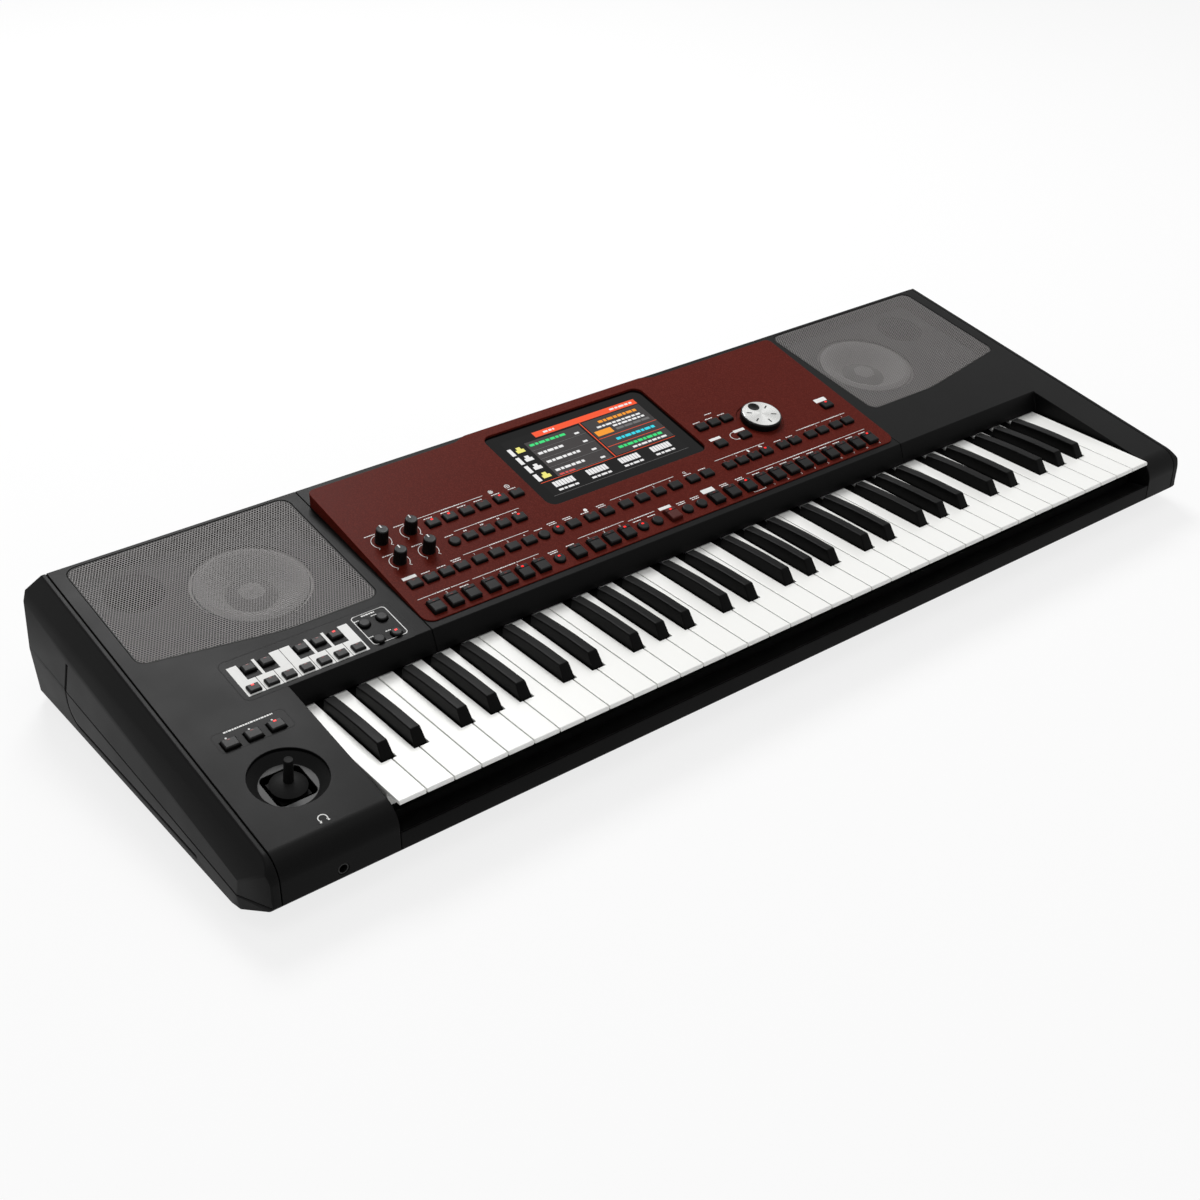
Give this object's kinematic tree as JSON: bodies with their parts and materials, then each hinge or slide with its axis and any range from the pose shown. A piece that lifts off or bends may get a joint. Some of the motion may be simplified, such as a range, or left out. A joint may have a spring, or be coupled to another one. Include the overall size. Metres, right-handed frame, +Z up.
{
  "type": "arranger keyboard",
  "caption": "Arranger keyboard: hinged piano keys in a tapered case with a raised control panel, display, knobs, dial, buttons, joystick and a speaker grille at each end.",
  "frame": {"origin": "on the floor under the middle of the case's outline", "axes": "+X to the player's right along the keys, +Y away from the player, +Z up"},
  "size_m": [1.03, 0.378, 0.127],
  "materials": {
    "black_case": "fine-grained matte black",
    "bottom_black": "fine-grained matte black",
    "panel_red": "metallic red-brown paint",
    "grille_grey": "grey perforated sheet",
    "white_key": "smooth white",
    "black_key": "satin black",
    "button_black": "soft satin black",
    "button_red": "soft satin red-brown",
    "knob_black": "satin black",
    "dial_silver": "turned and brushed",
    "glass_dark": "clear over dark",
    "lcd": "display module",
    "board_green": "circuit board",
    "supply_metal": "laminated core and board",
    "speaker_metal": "pressed basket",
    "cone_paper": "pressed paper",
    "rubber_black": "moulded",
    "screw_steel": "blackened",
    "inner_plastic": "moulded grey",
    "socket_black": "moulded"
  },
  "bodies": {
    "case": {"bottom_case": "bottom_black", "left_top_case": "black_case", "centre_top_case": "black_case", "right_top_case": "black_case", "left_side_cheek": "black_case", "right_side_cheek": "black_case", "key_slip": "black_case", "control_panel": "panel_red", "display_glass": "glass_dark", "lcd_module": "lcd", "left_grille": "grille_grey", "right_grille": "grille_grey", "woofer_frames": "speaker_metal", "port_tubes": "socket_black", "joystick_housing": "black_case", "keybed_frame": "inner_plastic", "key_contact_board": "board_green", "main_board": "board_green", "panel_board": "board_green", "power_supply": "supply_metal", "jack_panel": "inner_plastic", "rear_sockets": "socket_black", "headphone_jack": "socket_black", "rubber_feet": "rubber_black", "case_screws": "screw_steel"},
    "volume_knob": {"volume_knob": "knob_black"},
    "balance_knob": {"balance_knob": "knob_black"},
    "left_assign_knob": {"left_assign_knob": "knob_black"},
    "right_assign_knob": {"right_assign_knob": "knob_black"},
    "joystick_gimbal": {"joystick_gimbal": "inner_plastic"},
    "joystick_stick": {"joystick_stick": "rubber_black"},
    "power_switch": {"power_switch": "button_black"},
    "woofer_cones": {"woofer_cones": "cone_paper"},
    "menu_buttons": {"menu_buttons": "button_black"},
    "pad_buttons": {"pad_buttons": "button_black"},
    "variation_buttons": {"variation_buttons": "button_black"},
    "transport_buttons": {"transport_buttons": "button_black"},
    "start_stop_button": {"start_stop_button": "button_red"},
    "sound_set_buttons": {"sound_set_buttons": "button_black"},
    "entry_buttons": {"entry_buttons": "button_black"},
    "assign_switches": {"assign_switches": "button_black"},
    "scale_buttons": {"scale_buttons": "button_black"},
    "lower_white_keys": {"lower_white_keys": "white_key"},
    "lower_black_keys": {"lower_black_keys": "black_key"},
    "upper_white_keys": {"upper_white_keys": "white_key"},
    "upper_black_keys": {"upper_black_keys": "black_key"},
    "key_c": {"key_c": "white_key"},
    "key_d_flat": {"key_d_flat": "black_key"},
    "key_d": {"key_d": "white_key"},
    "key_e_flat": {"key_e_flat": "black_key"},
    "key_e": {"key_e": "white_key"},
    "key_f": {"key_f": "white_key"},
    "key_g_flat": {"key_g_flat": "black_key"},
    "key_g": {"key_g": "white_key"},
    "key_a_flat": {"key_a_flat": "black_key"},
    "key_a": {"key_a": "white_key"},
    "key_b_flat": {"key_b_flat": "black_key"},
    "key_b": {"key_b": "white_key"},
    "value_dial": {"value_dial": "knob_black", "dial_cap": "dial_silver"}
  },
  "joints": [
    {"name": "key_c_hinge", "type": "hinge", "parent": "case", "child": "key_c", "pos_m": [0, -0.0006, 0.054], "axis": [1, 0, 0], "range_deg": [0, 3.1], "stiffness_Nm_per_rad": 0.8, "springref_deg": -8.59},
    {"name": "key_d_flat_hinge", "type": "hinge", "parent": "case", "child": "key_d_flat", "pos_m": [0, -0.0006, 0.054], "axis": [1, 0, 0], "range_deg": [0, 3.1], "stiffness_Nm_per_rad": 0.8, "springref_deg": -8.59},
    {"name": "key_d_hinge", "type": "hinge", "parent": "case", "child": "key_d", "pos_m": [0, -0.0006, 0.054], "axis": [1, 0, 0], "range_deg": [0, 3.1], "stiffness_Nm_per_rad": 0.8, "springref_deg": -8.59},
    {"name": "key_e_flat_hinge", "type": "hinge", "parent": "case", "child": "key_e_flat", "pos_m": [0, -0.0006, 0.054], "axis": [1, 0, 0], "range_deg": [0, 3.1], "stiffness_Nm_per_rad": 0.8, "springref_deg": -8.59},
    {"name": "key_e_hinge", "type": "hinge", "parent": "case", "child": "key_e", "pos_m": [0, -0.0006, 0.054], "axis": [1, 0, 0], "range_deg": [0, 3.1], "stiffness_Nm_per_rad": 0.8, "springref_deg": -8.59},
    {"name": "key_f_hinge", "type": "hinge", "parent": "case", "child": "key_f", "pos_m": [0, -0.0006, 0.054], "axis": [1, 0, 0], "range_deg": [0, 3.1], "stiffness_Nm_per_rad": 0.8, "springref_deg": -8.59},
    {"name": "key_g_flat_hinge", "type": "hinge", "parent": "case", "child": "key_g_flat", "pos_m": [0, -0.0006, 0.054], "axis": [1, 0, 0], "range_deg": [0, 3.1], "stiffness_Nm_per_rad": 0.8, "springref_deg": -8.59},
    {"name": "key_g_hinge", "type": "hinge", "parent": "case", "child": "key_g", "pos_m": [0, -0.0006, 0.054], "axis": [1, 0, 0], "range_deg": [0, 3.1], "stiffness_Nm_per_rad": 0.8, "springref_deg": -8.59},
    {"name": "key_a_flat_hinge", "type": "hinge", "parent": "case", "child": "key_a_flat", "pos_m": [0, -0.0006, 0.054], "axis": [1, 0, 0], "range_deg": [0, 3.1], "stiffness_Nm_per_rad": 0.8, "springref_deg": -8.59},
    {"name": "key_a_hinge", "type": "hinge", "parent": "case", "child": "key_a", "pos_m": [0, -0.0006, 0.054], "axis": [1, 0, 0], "range_deg": [0, 3.1], "stiffness_Nm_per_rad": 0.8, "springref_deg": -8.59},
    {"name": "key_b_flat_hinge", "type": "hinge", "parent": "case", "child": "key_b_flat", "pos_m": [0, -0.0006, 0.054], "axis": [1, 0, 0], "range_deg": [0, 3.1], "stiffness_Nm_per_rad": 0.8, "springref_deg": -8.59},
    {"name": "key_b_hinge", "type": "hinge", "parent": "case", "child": "key_b", "pos_m": [0, -0.0006, 0.054], "axis": [1, 0, 0], "range_deg": [0, 3.1], "stiffness_Nm_per_rad": 0.8, "springref_deg": -8.59},
    {"name": "lower_white_keys_hinge", "type": "hinge", "parent": "case", "child": "lower_white_keys", "pos_m": [0, -0.0006, 0.054], "axis": [1, 0, 0], "range_deg": [0, 3.1], "stiffness_Nm_per_rad": 11.2, "springref_deg": -8.59},
    {"name": "lower_black_keys_hinge", "type": "hinge", "parent": "case", "child": "lower_black_keys", "pos_m": [0, -0.0006, 0.054], "axis": [1, 0, 0], "range_deg": [0, 3.1], "stiffness_Nm_per_rad": 8, "springref_deg": -8.59},
    {"name": "upper_white_keys_hinge", "type": "hinge", "parent": "case", "child": "upper_white_keys", "pos_m": [0, -0.0006, 0.054], "axis": [1, 0, 0], "range_deg": [0, 3.1], "stiffness_Nm_per_rad": 12, "springref_deg": -8.59},
    {"name": "upper_black_keys_hinge", "type": "hinge", "parent": "case", "child": "upper_black_keys", "pos_m": [0, -0.0006, 0.054], "axis": [1, 0, 0], "range_deg": [0, 3.1], "stiffness_Nm_per_rad": 8, "springref_deg": -8.59},
    {"name": "menu_buttons_press", "type": "slide", "parent": "case", "child": "menu_buttons", "axis": [0, 0.2219, -0.9751], "range_m": [0, 0.0008], "stiffness_N_per_m": 2200, "springref_m": -0.003},
    {"name": "pad_buttons_press", "type": "slide", "parent": "case", "child": "pad_buttons", "axis": [0, 0.2219, -0.9751], "range_m": [0, 0.0008], "stiffness_N_per_m": 3800, "springref_m": -0.003},
    {"name": "variation_buttons_press", "type": "slide", "parent": "case", "child": "variation_buttons", "axis": [0, 0.2219, -0.9751], "range_m": [0, 0.0008], "stiffness_N_per_m": 1800, "springref_m": -0.003},
    {"name": "transport_buttons_press", "type": "slide", "parent": "case", "child": "transport_buttons", "axis": [0, 0.2219, -0.9751], "range_m": [0, 0.0008], "stiffness_N_per_m": 2000, "springref_m": -0.003},
    {"name": "start_stop_button_press", "type": "slide", "parent": "case", "child": "start_stop_button", "axis": [0, 0.2219, -0.9751], "range_m": [0, 0.0008], "stiffness_N_per_m": 200, "springref_m": -0.003},
    {"name": "sound_set_buttons_press", "type": "slide", "parent": "case", "child": "sound_set_buttons", "axis": [0, 0.2219, -0.9751], "range_m": [0, 0.0008], "stiffness_N_per_m": 1800, "springref_m": -0.003},
    {"name": "entry_buttons_press", "type": "slide", "parent": "case", "child": "entry_buttons", "axis": [0, 0.2219, -0.9751], "range_m": [0, 0.0008], "stiffness_N_per_m": 3200, "springref_m": -0.003},
    {"name": "assign_switches_press", "type": "slide", "parent": "case", "child": "assign_switches", "axis": [0, 0.1623, -0.9867], "range_m": [0, 0.0008], "stiffness_N_per_m": 600, "springref_m": -0.003},
    {"name": "scale_buttons_press", "type": "slide", "parent": "case", "child": "scale_buttons", "axis": [0, 0.1623, -0.9867], "range_m": [0, 0.0008], "stiffness_N_per_m": 3200, "springref_m": -0.003},
    {"name": "volume_knob_turn", "type": "hinge", "parent": "case", "child": "volume_knob", "pos_m": [-0.24849, 0.06408, 0.10726], "axis": [0, -0.2219, 0.9751], "range_deg": [-150, 150]},
    {"name": "balance_knob_turn", "type": "hinge", "parent": "case", "child": "balance_knob", "pos_m": [-0.22029, 0.06408, 0.10726], "axis": [0, -0.2219, 0.9751], "range_deg": [-150, 150]},
    {"name": "left_assign_knob_turn", "type": "hinge", "parent": "case", "child": "left_assign_knob", "pos_m": [-0.24849, 0.03699, 0.1011], "axis": [0, -0.2219, 0.9751], "range_deg": [-150, 150]},
    {"name": "right_assign_knob_turn", "type": "hinge", "parent": "case", "child": "right_assign_knob", "pos_m": [-0.22029, 0.03699, 0.1011], "axis": [0, -0.2219, 0.9751], "range_deg": [-150, 150]},
    {"name": "value_dial_turn", "type": "hinge", "parent": "case", "child": "value_dial", "pos_m": [0.16148, 0.04889, 0.1038], "axis": [0, -0.2219, 0.9751], "continuous": true},
    {"name": "joystick_y_tilt", "type": "hinge", "parent": "case", "child": "joystick_gimbal", "pos_m": [-0.44444, -0.11847, 0.05485], "axis": [1, 0, 0], "range_deg": [-15, 15], "stiffness_Nm_per_rad": 0.15},
    {"name": "joystick_x_tilt", "type": "hinge", "parent": "joystick_gimbal", "child": "joystick_stick", "pos_m": [-0.44444, -0.11847, 0.05485], "axis": [0, 0.9867, 0.1623], "range_deg": [-15, 15], "stiffness_Nm_per_rad": 0.15},
    {"name": "power_switch_rock", "type": "hinge", "parent": "case", "child": "power_switch", "pos_m": [0.13617, 0.1765, 0.031], "axis": [1, 0, 0], "range_deg": [0, 16]},
    {"name": "woofer_cones_travel", "type": "slide", "parent": "case", "child": "woofer_cones", "axis": [0, -0.1623, 0.9867], "range_m": [-0.0015, 0.0015], "stiffness_N_per_m": 1500}
  ]
}
